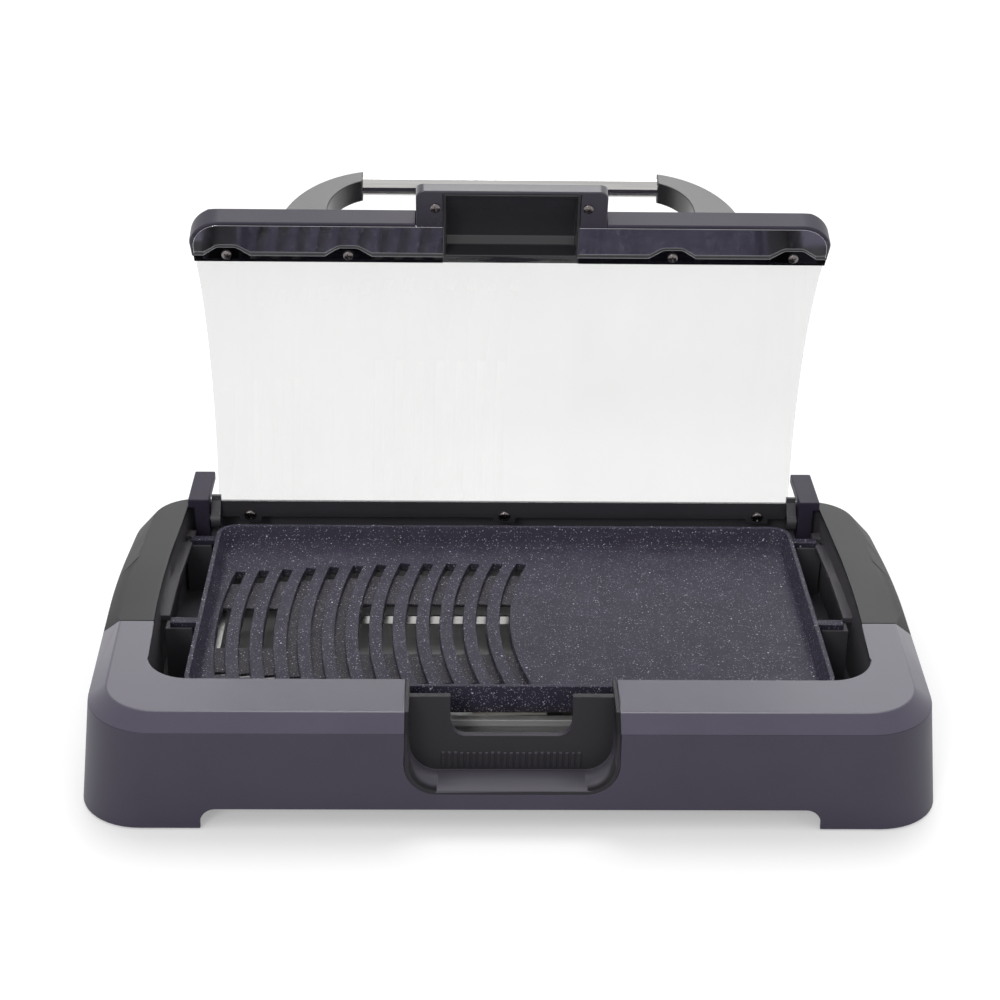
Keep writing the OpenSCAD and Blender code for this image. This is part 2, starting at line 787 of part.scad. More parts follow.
// Plan of the path of the element, as a band of the given width
module element_band(w) {
  for (y = [leg_front, leg_rear], s = [-1, 1]) {
    x1 = s > 0 ? element_right - element_r : element_left - element_r;
    x0 = y > channel_y ? 0 : pin_spacing / 2 + element_bend_r;
    translate([s > 0 ? x0 : -x1, y - w / 2]) square([x1 - x0, w]);
  }
  for (s = [-1, 1]) {
    xc = s > 0 ? element_right - element_r : -element_left + element_r;
    intersection() {
      translate([xc, channel_y]) difference() {
        circle(element_r + w / 2, $fn = 96);
        circle(element_r - w / 2, $fn = 96);
      }
      translate([s > 0 ? xc : xc - 2 * element_r, channel_y - 2 * element_r])
        square([2 * element_r, 4 * element_r]);
    }
  }
}

// Outline of the plate's hollow, drawn in by inset from the plate's edge
module pocket_plan(inset) {
  round_rect(plate_half - inset, plate_front + inset, plate_rear - inset, plate_corner_r - plate_edge_t);
}

module pocket_slice(z, inset) {
  translate([0, 0, cook_z + z]) linear_extrude(eps) pocket_plan(plate_edge_t + inset);
}

module grill_plate() {
  // Lean of the walls of the hollow
  lean_in = atan(plate_slope / (plate_top - cook_z));
  color([0.14, 0.14, 0.18]) placed() {
    difference() {
      union() {
        translate([0, 0, plate_z]) linear_extrude(plate_top - plate_z)
          round_rect(plate_half, plate_front, plate_rear, plate_corner_r);
        for (s = [-1, 1], y = lug_y)
          translate([s > 0 ? plate_half - 1 : -plate_half - lug_len, y - lug_w / 2, lug_z])
            cube([lug_len + 1, lug_w, lug_h]);
      }
      hull() {
        translate([0, 0, plate_top]) linear_extrude(eps) pocket_plan(plate_edge_t);
        for (t = [0:0.2:1]) pocket_slice(pocket_round * cos(lean_in) * pow(1 - t, 2),
          plate_slope + pocket_round * (t * t - sin(lean_in) * pow(1 - t, 2)));
      }
      channels();
    }
    translate([0, 0, plate_z - rib_h]) linear_extrude(rib_h + eps) difference() {
      element_band(rib_w);
      element_band(element_d + 2 * slip);
    }
  }
}

module rod(from, len, dir) {
  translate(from) rotate(dir) cylinder(d = element_d, h = len);
}

module bend(r, a0, a) {
  rotate(a0) rotate_extrude(angle = a) translate([r, 0]) circle(d = element_d, $fn = 32);
}

module heating_element() {
  e = element_bend_r;
  xb = pin_spacing / 2 + e;
  xl = element_left - element_r;
  xr = element_right - element_r;
  z = element_z;
  color([0.45, 0.45, 0.47]) placed() {
    rod([-xl, leg_rear, z], xl + xr, [0, 90, 0]);
    rod([-xl, leg_front, z], xl - xb, [0, 90, 0]);
    rod([xb, leg_front, z], xr - xb, [0, 90, 0]);
    translate([-xl, channel_y, z]) bend(element_r, 90, 180);
    translate([xr, channel_y, z]) bend(element_r, -90, 180);
    translate([-xb, leg_front - e, z]) bend(e, 0, 90);
    translate([xb, leg_front - e, z]) bend(e, 90, 90);
    for (s = [-1, 1]) {
      y0 = block_front + block_d - 2;
      rod([s * pin_spacing / 2, leg_front - e, z], leg_front - e - y0, [90, 0, 0]);
    }
  }
}

module terminal_block() {
  w = pin_spacing + element_d + 8;
  color([0.75, 0.74, 0.7]) placed() difference() {
    translate([-w / 2, block_front, plate_z - element_d - 3]) cube([w, block_d, element_d + 3]);
    for (s = [-1, 1]) translate([s * pin_spacing / 2, block_front + block_d + 1, element_z])
      rotate([90, 0, 0]) cylinder(d = element_d + 2 * screw_play, h = block_d + 2);
    translate([0, block_front - 1, element_z]) rotate([90, 0, 0])
      translate([0, 0, -probe_len]) cylinder(d = probe_d, h = probe_len + 2);
  }
}

module terminal_pins() {
  color([0.85, 0.85, 0.86]) placed() for (s = [-1, 1])
    translate([s * pin_spacing / 2, block_front + block_d - 2, element_z]) rotate([90, 0, 0]) {
      cylinder(d = element_d - 2.4, h = block_d + 2);
      translate([0, 0, 0]) cylinder(d = element_d, h = block_d - 6);
    }
}

// ---------------------------------------------------------------- lid

// Swings parts laid out shut up to the open lid
module open_lid() {
  translate([0, hinge_y, hinge_z]) rotate([-lid_open, 0, 0]) children();
}

// Extrudes a (u, w) outline across X, with u running forward
module lid_across(x0, x1) {
  across(x0, x1) mirror([1, 0]) children();
}

module ring_part(r0, r1, u0, u1) {
  intersection() {
    translate(glass_c) difference() {
      circle(r1, $fn = 180);
      circle(r0, $fn = 180);
    }
    translate([u0, 0]) square([u1 - u0, 100]);
  }
}

module lid_glass() {
  color([0.85, 0.9, 0.9, 0.35]) placed() open_lid()
    lid_across(-glass_half, glass_half)
      ring_part(glass_r, glass_r + glass_t, glass_a[0] - 7, glass_end_u);
}

module seal_shape(u0, u1) {
  ring_part(glass_r + glass_t, glass_r + glass_t + seal_t, u0, u1);
}

module front_seal() {
  color([0.05, 0.05, 0.05]) placed() open_lid() lid_across(-glass_half, glass_half)
    seal_shape(band_rear(), glass_end_u);
}

// Plan of the front band, drawn in by inset
module band_plan(inset) {
  r = band_corner_r - inset;
  half = lid_half - inset;
  front = band_u - inset;
  translate([-half, 0]) square([2 * half, front - r]);
  translate([-half + r, 0]) square([2 * (half - r), front]);
  for (s = [-1, 1]) translate([s * (half - r), front - r]) circle(r);
}

module band_block(inset) {
  intersection() {
    translate([0, 0, -50]) linear_extrude(150) mirror([0, 1]) band_plan(inset);
    lid_across(-lid_half, lid_half) children();
  }
}

function band_rear() = band_u - band_d;

module band_outer_shape() {
  e = 2;
  polygon([
    [band_rear(), band_top - 1.5], [band_rear() + 1.5, band_top], [band_u - e, band_top],
    [band_u, band_top - e], [band_u, rest_w], [band_rear() + 9, rest_w], [band_rear(), rest_w + 3.4]
  ]);
}

module band_inner_shape() {
  polygon([
    [band_rear() + band_t, -20], [band_u + 5, -20], [band_u + 5, band_top - band_t],
    [band_rear() + band_t, band_top - band_t]
  ]);
}

module at_clamp_screws() {
  for (s = [-1, 1], x = [clamp_screw_in, lid_half - clamp_screw_side])
    translate([s * x, -clamp_screw_u, clamp_low]) children();
}

// Footprint of a tab about its screw, with sloping sides and clipped corners, enlarged by grow
module tab(grow) {
  half = tab_w / 2 + grow;
  foot = tab_foot_w / 2 + grow;
  front = tab_reach - 1 + grow;
  clip = 1.2;
  mirror([0, 1]) polygon([
    [-foot, -6], [foot, -6], [foot, -1], [half + clip, front - clip], [half - clip, front],
    [clip - half, front], [-half - clip, front - clip], [-foot, -1]
  ]);
}

// Outline of the strips that grip the glass
module strip_shape() {
  y1 = glass_c[1] + sqrt(pow(glass_r, 2) - pow(glass_end_u - glass_c[0], 2)) - slip;
  difference() {
    polygon([
      [grip_u, clamp_low + 1.9], [glass_end_u, clamp_low + 0.5], [grip_u + clamp_w, clamp_low],
      [grip_u + clamp_w, clamp_low + clamp_t], [glass_end_u + slip, y1], [grip_u, y1 + 3]
    ]);
    ring_part(glass_r, glass_r + 20, grip_u - 2, glass_end_u + slip);
  }
}

module front_band() {
  color([0.3, 0.29, 0.34]) placed() open_lid() difference() {
    union() {
      difference() {
        band_block(0) band_outer_shape();
        band_block(band_t) band_inner_shape();
      }
      at_clamp_screws() translate([0, 0, clamp_t + slip])
        cylinder(d = boss_d - 2, h = band_top - clamp_low - clamp_t - slip - 1);
    }
    lid_across(-lid_half - 1, lid_half + 1)
      translate(glass_c) circle(glass_r + glass_t + seal_t, $fn = 180);
    translate([-hood_w / 2 - slip, -band_u - 1, 0])
      cube([hood_w + 2 * slip, band_u + 1 - notch_u, 100]);
    at_clamp_screws() cylinder(d = screw_d + 2 * screw_play, h = 12);
    at_handle_screws() translate([0, 0, -20]) cylinder(d = screw_d + 0.4, h = 30);
  }
}

module clamp_strip_part(x0, x1) {
  difference() {
    union() {
      lid_across(x0, x1) strip_shape();
      intersection() {
        at_clamp_screws() linear_extrude(clamp_t) tab(0);
        translate([x0, -band_u, 0]) cube([x1 - x0, band_u - glass_end_u - slip, 60]);
      }
    }
    at_clamp_screws() translate([0, 0, -1]) cylinder(d = screw_d + 2 * screw_play, h = clamp_t + 12);
  }
}

module clamp_strip(s) {
  x0 = hood_hollow_w / 2 + liner_t + slip;
  x1 = lid_half - band_t - slip;
  color([0.6, 0.6, 0.62]) placed() open_lid() clamp_strip_part(s > 0 ? x0 : -x1, s > 0 ? x1 : -x0);
}

module clamp_screws() {
  color([0.7, 0.7, 0.72]) placed() open_lid() at_clamp_screws() screw(clamp_t + 9);
}

module liner_shape(u0) {
  u1 = band_u - band_t - slip;
  polygon([[u0, liner_low], [u1, clamp_low], [u1, clamp_low + liner_t], [u0, liner_low + liner_t]]);
}

module band_liner() {
  color([0.6, 0.6, 0.62]) placed() open_lid() difference() {
    intersection() {
      lid_across(-lid_half, lid_half) liner_shape(grip_u + clamp_w + slip);
      translate([0, 0, -50]) linear_extrude(150) mirror([0, 1]) band_plan(band_t + slip);
    }
    translate([-hood_hollow_w / 2 - liner_t - slip, -band_u - 1, -10])
      cube([hood_hollow_w + 2 * (liner_t + slip), band_d, 100]);
    at_clamp_screws() translate([0, 0, -10]) linear_extrude(40) tab(slip);
  }
}

// ---------------------------------------------------------------- hood

module hood_plan(inset) {
  r = 6;
  half = hood_w / 2 - inset;
  front = hood_front - inset;
  translate([-half, 0]) square([2 * half, front - r]);
  translate([-half + r, 0]) square([2 * (half - r), front]);
  for (s = [-1, 1]) translate([s * (half - r), front - r]) circle(r);
}

module hood_outer_shape() {
  under = liner_t + slip;
  polygon([
    [hood_rear, band_top], [hood_rear + 8, hood_top], [band_u - 6, hood_top],
    [hood_front - 4, rest_w + hood_lip_h + 2.6], [hood_front, rest_w + hood_lip_h], [hood_front, rest_w],
    [band_u - band_t, rest_w], [band_u - band_t, clamp_low + under],
    [notch_u + slip, liner_low + under + 0.4], [notch_u + slip, band_top]
  ]);
}

module hood_inner_shape() {
  roof = hood_top - hood_t;
  front = hood_front - hood_t;
  polygon([
    [hood_rear + 5, band_top - eps], [hood_rear + 8 + hood_t / 2, roof], [band_u - 6.6, roof],
    [front - 3, rest_w + hood_lip_h - 0.2], [front, rest_w + hood_lip_h - 2.6],
    [front, rest_w + hood_t], [band_u - band_t, rest_w + hood_t],
    [band_u - band_t, rest_w - 5], [notch_u - 1, rest_w - 5], [notch_u - 1, band_top - eps]
  ]);
}

module at_hood_screws() {
  x = hood_hollow_w / 2 + liner_t + slip + boss_d / 2;
  for (s = [-1, 1]) translate([s * x, -(band_u + hood_reach / 2), rest_w]) children();
}

module hood_shell() {
  half_in = hood_w / 2 - hood_t;
  color([0.2, 0.19, 0.23]) placed() open_lid() difference() {
    union() {
      difference() {
        intersection() {
          lid_across(-hood_w / 2, hood_w / 2) hood_outer_shape();
          translate([0, 0, -50]) linear_extrude(150) mirror([0, 1]) hood_plan(0);
        }
        intersection() {
          lid_across(-half_in, half_in) hood_inner_shape();
          translate([0, 0, -50]) linear_extrude(150) mirror([0, 1]) hood_plan(hood_t);
        }
      }
      at_hood_screws() cylinder(d = boss_d, h = hood_lip_h - 1);
    }
    translate([-hood_hollow_w / 2 - liner_t - slip, -hood_front + hood_t, 0])
      cube([hood_hollow_w + 2 * liner_t + 2 * slip, hood_front, rest_w + hood_t + 1]);
    lid_across(-hood_w, hood_w) translate(glass_c) circle(glass_r + glass_t + seal_t + slip, $fn = 180);
    at_hood_screws() translate([0, 0, -1]) cylinder(d = screw_d + 2 * screw_play, h = hood_lip_h - 1);
  }
}

module hollow_shape(grow) {
  front = hood_front - hood_t - liner_t - slip + grow;
  lip = rest_w + hood_lip_h - 5 + grow;
  roof = hood_top - hood_t - liner_t - slip - 0.5 + grow;
  polygon([
    [hollow_rear - grow, -5], [front, -5], [front, lip], [front - 4 - grow / 2, lip + 1],
    [band_u - 8, roof], [hollow_rear + 4, roof], [hollow_rear - grow, roof - 5]
  ]);
}

module hood_liner() {
  half = hood_hollow_w / 2;
  color([0.02, 0.02, 0.03]) placed() open_lid() {
    difference() {
      intersection() {
        lid_across(-half - liner_t, half + liner_t) hollow_shape(liner_t);
        translate([-base_w, -base_d * 2, clamp_low]) cube([2 * base_w, 2 * base_d, 100]);
      }
      lid_across(-half, half) hollow_shape(0);
    }
    lid_across(-half - liner_t, half + liner_t) intersection() {
      strip_shape();
      translate([grip_u - 1, 0]) square([clamp_w + wall_ahead + 1 - liner_t + eps, 100]);
    }
  }
}

module hood_screws() {
  color([0.7, 0.7, 0.72]) placed() open_lid() at_hood_screws() screw(hood_lip_h - 3);
}

// ---------------------------------------------------------------- handle

arm_outer_c = [arm_tip_x - 15.6, arm_top - arm_r + 0.4];
arm_inner_c = [arm_tip_x - 13.2, arm_low - arm_inner_r + 1.8];

module arm_shape() {
  difference() {
    intersection() {
      translate(arm_outer_c) circle(arm_r, $fn = 128);
      translate([arm_tip_x, band_top]) square([100, 100]);
    }
    translate(arm_inner_c) circle(arm_inner_r, $fn = 96);
  }
}

module handle_arm(s) {
  color([0.2, 0.2, 0.22]) placed() open_lid() difference() {
    translate([0, -tube_u + arm_d / 2, 0]) rotate([90, 0, 0]) linear_extrude(arm_d)
      mirror([s > 0 ? 0 : 1, 0]) arm_shape();
    translate([s * (arm_tip_x + socket_len / 2), -tube_u, tube_w]) rotate([0, 90, 0])
      cylinder(d = tube_d + 2 * screw_play, h = socket_len + 0.1, center = true);
    at_handle_screws() translate([0, 0, -1]) cylinder(d = screw_d + 2 * screw_play, h = 13);
  }
}

module at_handle_screws() {
  x = arm_outer_c[0] + arm_r - 15;
  for (s = [-1, 1]) translate([s * x, -tube_u, band_top]) children();
}

module handle_tube() {
  len = tube_len + 2 * socket_len;
  color([0.82, 0.82, 0.84]) placed() open_lid() translate([0, -tube_u, tube_w]) rotate([0, 90, 0])
    difference() {
      cylinder(d = tube_d, h = len, center = true);
      cylinder(d = tube_d - 2 * tube_t, h = len + 1, center = true);
    }
}

module handle_screws() {
  color([0.7, 0.7, 0.72]) placed() open_lid() at_handle_screws()
    translate([0, 0, -band_t]) screw(band_t + 10);
}

// ---------------------------------------------------------------- rear of the lid

// Places a (u, w) outline in line with the glass where it leaves the rear band
module at_rear() {
  translate(glass_a) rotate(rear_tilt) children();
}

module rear_band() {
  out = glass_t + seal_t;
  x = lid_half - block_t + 2 - slip;
  color([0.05, 0.05, 0.06]) placed() open_lid() difference() {
    lid_across(-x, x) difference() {
      at_rear() polygon([
        [-rear_end, 0], [4.5 - rear_end, 0], [4.5 - rear_end, out], [-3.6, out],
        [-4.5, out + 3], [-rear_end, out + 3]
      ]);
      translate(glass_c) circle(glass_r + slip, $fn = 180);
      ring_part(glass_r, glass_r + out, glass_a[0] - 7.3, 40);
    }
    at_rear_screws() translate([0, 0, -1]) cylinder(d = screw_d + 2 * screw_play, h = 8);
  }
}

module rear_clamp() {
  x = lid_half - block_t + 2 - slip;
  color([0.03, 0.03, 0.04]) placed() open_lid() difference() {
    union() {
      lid_across(-x, x) difference() {
        at_rear() translate([-rear_end, -clamp_t - 1]) square([rear_end - 0.4, clamp_t + 2]);
        translate(glass_c) difference() {
          circle(glass_r + 20, $fn = 180);
          circle(glass_r, $fn = 180);
        }
      }
      at_rear_screws() translate([0, 0, -clamp_t]) linear_extrude(clamp_t - 0.6)
        polygon([[-9.5, -4], [9.5, -4], [8, 6.5], [-8, 6.5]]);
    }
    at_rear_screws() translate([0, 0, -6]) cylinder(d = screw_d + 2 * screw_play, h = 12);
  }
}

module at_rear_screws() {
  step = lid_half + 1;
  a = -rear_end + 2.4;
  for (x = [-step + 28, 0, step - 28])
    translate([x, -glass_a[0], glass_a[1]]) rotate([-rear_tilt, 0, 0]) translate([0, -a, -1]) children();
}

module rear_seal() {
  x = lid_half - block_t + 2 - slip;
  color([0.05, 0.05, 0.05]) placed() open_lid() lid_across(-x, x)
    seal_shape(glass_a[0] - 7, glass_a[0] - 5.2);
}

module rear_screws() {
  color([0.7, 0.7, 0.72]) placed() open_lid() at_rear_screws()
    translate([0, 0, -clamp_t]) screw(clamp_t + 4.5);
}

module hinge_block(s) {
  x1 = lid_half + 2;
  x0 = x1 - block_t;
  color([0.06, 0.06, 0.07]) placed() open_lid() difference() {
    lid_across(s > 0 ? x0 : -x1, s > 0 ? x1 : -x0) difference() {
      union() {
        circle(7);
        at_rear() translate([-rear_end, -3.5]) square([rear_end + 4, 3.4]);
        polygon([[-6, 3], [6.5, -2], [12, 7], [glass_a[0], glass_a[1] - 1], [-3, 7]]);
      }
      translate(glass_c) difference() {
        circle(glass_r + 20, $fn = 180);
        circle(glass_r - slip, $fn = 180);
      }
    }
    rotate([0, 90, 0]) cylinder(d = pin_d + 2 * pin_play, h = base_w, center = true);
  }
}

// ---------------------------------------------------------------- parts

lower_housing();
front_rim();
side_rail(-1);  // side_rail_left
side_rail(1);  // side_rail_right
rear_cover();
inner_tub();
bay_insert();
bottom_plate();
foot_pad(-1, -1);  // foot_front_left
foot_pad(1, -1);  // foot_front_right
foot_pad(-1, 1);  // foot_rear_left
foot_pad(1, 1);  // foot_rear_right
base_screws();
hinge_bracket(-1);  // hinge_bracket_left
hinge_bracket(1);  // hinge_bracket_right
hinge_pin(-1);  // hinge_pin_left
hinge_pin(1);  // hinge_pin_right
bracket_screws();
drip_tray();
grill_plate();
heating_element();
terminal_block();
terminal_pins();
lid_glass();
front_band();
band_liner();
clamp_strip(-1);  // clamp_strip_left
clamp_strip(1);  // clamp_strip_right
clamp_screws();
front_seal();
hood_shell();
hood_liner();
hood_screws();
handle_arm(-1);  // handle_arm_left
handle_arm(1);  // handle_arm_right
handle_tube();
handle_screws();
rear_band();
rear_clamp();
rear_seal();
rear_screws();
hinge_block(-1);  // hinge_block_left
hinge_block(1);  // hinge_block_right
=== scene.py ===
"""Electric indoor grill with its glass lid raised: finishes, small details, light and camera."""

import json
import math

import bmesh
import bpy
from mathutils import Matrix, Vector


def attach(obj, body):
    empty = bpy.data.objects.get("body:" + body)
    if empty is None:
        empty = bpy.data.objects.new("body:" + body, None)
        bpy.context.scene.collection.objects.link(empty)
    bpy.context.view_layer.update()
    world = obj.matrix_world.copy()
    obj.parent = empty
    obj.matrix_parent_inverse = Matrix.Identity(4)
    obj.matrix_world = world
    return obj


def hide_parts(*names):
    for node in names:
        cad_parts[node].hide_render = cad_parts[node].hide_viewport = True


MM = 0.001

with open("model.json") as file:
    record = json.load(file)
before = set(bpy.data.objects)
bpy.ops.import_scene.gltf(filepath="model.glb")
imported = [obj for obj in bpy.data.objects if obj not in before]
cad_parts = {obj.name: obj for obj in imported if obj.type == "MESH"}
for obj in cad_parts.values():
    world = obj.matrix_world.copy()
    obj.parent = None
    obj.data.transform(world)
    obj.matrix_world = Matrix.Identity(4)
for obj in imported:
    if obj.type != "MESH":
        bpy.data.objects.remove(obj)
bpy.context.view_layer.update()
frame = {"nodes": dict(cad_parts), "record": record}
nodes = frame["nodes"]
scene = bpy.context.scene

# ---------------------------------------------------------------- camera

CAMERA_AT = Vector((-35.2, -1284.8, 787.0)) * MM
CAMERA_YAW = math.radians(1.283)
CAMERA_PITCH = math.radians(26.386)
CAMERA_ROLL = math.radians(0.861)
# Focal length as a share of the picture's width
FOCAL_WIDTHS = 2.0934
SENSOR_WIDTH = 36.0
# How far the camera sees, in metres
FAR_CLIP = 50


def make_camera():
    """The camera of the photograph, fitted to the object's corners in it."""
    data = bpy.data.cameras.new("camera")
    data.sensor_width = SENSOR_WIDTH
    data.lens = SENSOR_WIDTH * FOCAL_WIDTHS
    data.clip_end = FAR_CLIP
    camera = bpy.data.objects.new("camera", data)
    scene.collection.objects.link(camera)
    ahead = Vector((
        math.sin(CAMERA_YAW) * math.cos(CAMERA_PITCH),
        math.cos(CAMERA_YAW) * math.cos(CAMERA_PITCH),
        -math.sin(CAMERA_PITCH),
    ))
    level = Vector((math.cos(CAMERA_YAW), -math.sin(CAMERA_YAW), 0))
    upright = level.cross(ahead)
    right = level * math.cos(CAMERA_ROLL) + upright * math.sin(CAMERA_ROLL)
    up = upright * math.cos(CAMERA_ROLL) - level * math.sin(CAMERA_ROLL)
    turn = Matrix((right, up, -ahead)).transposed().to_4x4()
    camera.matrix_world = Matrix.Translation(CAMERA_AT) @ turn
    scene.camera = camera


make_camera()

# ---------------------------------------------------------------- lid frame

# The direction out of the lid's outer face while it stands open
LID_OPEN = math.radians(72.5)
LID_OUT = Vector((0, math.sin(LID_OPEN), math.cos(LID_OPEN)))

# ---------------------------------------------------------------- node helpers


def link(tree, value, socket):
    """Feeds a socket from another node's output, or sets it to a constant."""
    if isinstance(value, bpy.types.NodeSocket):
        tree.links.new(value, socket)
    else:
        socket.default_value = value


def add(tree, kind, inputs=None, **settings):
    """A new node with its settings, and its inputs by name or index."""
    node = tree.nodes.new(kind)
    for key, value in settings.items():
        setattr(node, key, value)
    for key, value in (inputs or {}).items():
        link(tree, value, node.inputs[key])
    return node


def new_material(name, **sockets):
    """A Principled material whose constant sockets are set directly."""
    material = bpy.data.materials.new(name)
    material.use_nodes = True
    tree = material.node_tree
    shader = tree.nodes["Principled BSDF"]
    for key, value in sockets.items():
        shader.inputs[key.replace("_", " ")].default_value = value
    return material, tree, shader


def place(tree, stretch=(1, 1, 1)):
    """The object's own coordinates, in metres."""
    coords = add(tree, "ShaderNodeTexCoord").outputs["Object"]
    if stretch == (1, 1, 1):
        return coords
    return add(tree, "ShaderNodeMapping", {"Vector": coords, "Scale": stretch}).outputs[0]


def noise(tree, per_metre, detail=3, stretch=(1, 1, 1)):
    """Noise of about 0.3 to 0.7, with so many waves to the metre."""
    inputs = {"Vector": place(tree, stretch), "Scale": per_metre, "Detail": detail, "Roughness": 0.6}
    return add(tree, "ShaderNodeTexNoise", inputs).outputs[0]


def spread(tree, value, low, high, start=0.3, end=0.7):
    """A value mapped from start to end onto low to high, and held there."""
    inputs = {"Value": value, "From Min": start, "From Max": end, "To Min": low, "To Max": high}
    return add(tree, "ShaderNodeMapRange", inputs, clamp=True).outputs[0]


def mix(tree, factor, first, second):
    """The first colour where the factor is 0, the second where it is 1."""
    node = add(tree, "ShaderNodeMix", data_type="RGBA")
    link(tree, factor, node.inputs[0])
    link(tree, first, node.inputs[6])
    link(tree, second, node.inputs[7])
    return node.outputs[2]


def maths(tree, operation, *values):
    """The result of one operation on sockets or numbers."""
    node = add(tree, "ShaderNodeMath", operation=operation)
    for i, value in enumerate(values):
        link(tree, value, node.inputs[i])
    return node.outputs[0]


def shaded(colour, share):
    """A colour times a share, with full alpha."""
    return (*(channel * share for channel in colour), 1)


def separated(tree, vector):
    """The three parts of a vector."""
    return add(tree, "ShaderNodeSeparateXYZ", {0: vector}).outputs


def tinted(tree, shader, factor, first, second):
    """Gives the shader the first colour where the factor is 0, the second where it is 1."""
    tree.links.new(mix(tree, factor, first, second), shader.inputs["Base Color"])


def overlaid(tree, factor, colour):
    """Lays a colour over what the material has already, where the factor is above 0."""
    shader = tree.nodes["Principled BSDF"]
    before = shader.inputs["Base Color"].links[0].from_socket
    tinted(tree, shader, factor, before, colour)


def roughened(tree, shader, value, low, high):
    """Varies the shader's roughness with a noise."""
    tree.links.new(spread(tree, value, low, high), shader.inputs["Roughness"])


def bump(tree, shader, height, depth, before=None):
    """Raises the surface by height times depth in metres, on top of an earlier bump."""
    inputs = {"Height": height, "Distance": depth, "Strength": 1.0}
    if before is not None:
        inputs["Normal"] = before
    out = add(tree, "ShaderNodeBump", inputs).outputs[0]
    tree.links.new(out, shader.inputs["Normal"])
    return out


# ---------------------------------------------------------------- finishes


# Moulded plastic: waves to the metre in its clouds and its dust, the clouds' share of the mottling,
# and how far the gloss varies
CLOUDS = 22
DUST = 900
CLOUD_SHARE = 0.6
GLOSS_RANGE = 0.03


def moulded(name, colour, rough, grain=1600, grain_depth=0.010, mottle=0.12, **sockets):
    """Moulded plastic: spark-eroded grain, its depth in millimetres, slight mottling and uneven gloss."""
    material, tree, shader = new_material(name, **sockets)
    cloud = noise(tree, CLOUDS, 4)
    clouds = maths(tree, "MULTIPLY", cloud, CLOUD_SHARE)
    dust = maths(tree, "MULTIPLY", noise(tree, DUST, 2), 1 - CLOUD_SHARE)
    mottled = spread(tree, maths(tree, "ADD", clouds, dust), 0, 1, 0.35, 0.65)
    tinted(tree, shader, mottled, shaded(colour, 1 - mottle), shaded(colour, 1 + mottle))
    roughened(tree, shader, cloud, rough - GLOSS_RANGE, rough + GLOSS_RANGE)
    bump(tree, shader, noise(tree, grain, 2), grain_depth * MM)
    return material


def housing_plastic():
    """The base's dark purple-grey plastic."""
    return moulded("housing_plastic", (0.030, 0.024, 0.046), 0.48, Specular_IOR_Level=0.45)


def band_plastic():
    """The housing's plastic, less glossy, on the lid's band."""
    return moulded(
        "band_plastic", (0.029, 0.024, 0.042), 0.46, grain=2000, grain_depth=0.006,
        Specular_IOR_Level=0.34,
    )


def post_plastic():
    """The housing's plastic, nearly matt, on the hinge posts."""
    return moulded(
        "post_plastic", (0.027, 0.022, 0.038), 0.50, grain=2000, grain_depth=0.006,
        Specular_IOR_Level=0.14,
    )


def hood_plastic():
    """The housing's plastic with a smoother skin, on the lid's hood."""
    return moulded(
        "hood_plastic", (0.022, 0.018, 0.032), 0.30, grain=2000, grain_depth=0.004,
        Specular_IOR_Level=0.6, Coat_Weight=0.3, Coat_Roughness=0.22,
    )


def rim_plastic():
    """Satin lacquer over the housing's plastic, which catches the light from above."""
    return moulded(
        "rim_plastic", (0.036, 0.028, 0.058), 0.35, grain=2200, grain_depth=0.004,
        Specular_IOR_Level=0.58, Coat_Weight=0.30, Coat_Roughness=0.28,
    )


def rail_plastic():
    """The side rails' neutral dark plastic."""
    return moulded(
        "rail_plastic", (0.020, 0.020, 0.022), 0.46, grain=2000, grain_depth=0.006,
        Specular_IOR_Level=0.25,
    )


def black_plastic():
    """Plain black plastic, of the bottom plate and the hinge blocks."""
    return moulded(
        "black_plastic", (0.042, 0.040, 0.046), 0.42, grain=1800, grain_depth=0.006,
        Specular_IOR_Level=0.4,
    )


def lightened_tub_plastic():
    """The tub's black plastic, painted lighter to stand in for light that the deep tub doesn't get."""
    return moulded(
        "lightened_tub_plastic", (0.066, 0.062, 0.070), 0.50, grain=1800, grain_depth=0.008,
        Specular_IOR_Level=0.2,
    )


def arm_plastic():
    """Black plastic with the satin polish of the handle."""
    return moulded(
        "arm_plastic", (0.018, 0.017, 0.019), 0.30, grain=1800, grain_depth=0.004,
        Specular_IOR_Level=0.6, Coat_Weight=0.2, Coat_Roughness=0.26,
    )


# Painted light on the bay's ledge: the ranges of the normal over which a surface turns from the front or
# begins to face up, and the heights over which the ledge ends
LEDGE_FORWARD = (-0.8, -0.45)
LEDGE_UPWARD = (0.30, 0.50)
LEDGE_HEIGHTS = (40 * MM, 68 * MM)
LEDGE_PAINTED_LIGHT = (0.074, 0.068, 0.086, 1)


def bay_plastic():
    """Matt black plastic around the hand hold, painted darker as shade, with painted light on the ledge
    along its foot where it slopes.
    """
    # The base colour, darker than the plain black plastic's, is painted shade on the upright panel
    material = moulded(
        "bay_plastic", (0.015, 0.013, 0.017), 0.42, grain=1800, grain_depth=0.006,
        Specular_IOR_Level=0.25,
    )
    tree = material.node_tree
    facing = separated(tree, add(tree, "ShaderNodeTexCoord").outputs["Normal"])
    height = separated(tree, place(tree))[2]
    turned = spread(tree, facing[1], 0, 1, *LEDGE_FORWARD)
    sloped = maths(tree, "MAXIMUM", turned, spread(tree, facing[2], 0, 1, *LEDGE_UPWARD))
    # Painted light: a paler colour near the foot, on faces that turn from the front or face up
    ledge = maths(tree, "MULTIPLY", sloped, spread(tree, height, 1, 0, *LEDGE_HEIGHTS))
    overlaid(tree, ledge, LEDGE_PAINTED_LIGHT)
    return material


def gloss_black():
    """Glossy black coating, of the hood's liner and of the covers at the rear."""
    return moulded("gloss_black", (0.026, 0.026, 0.030), 0.20, grain=120, grain_depth=0.004, mottle=0.05)


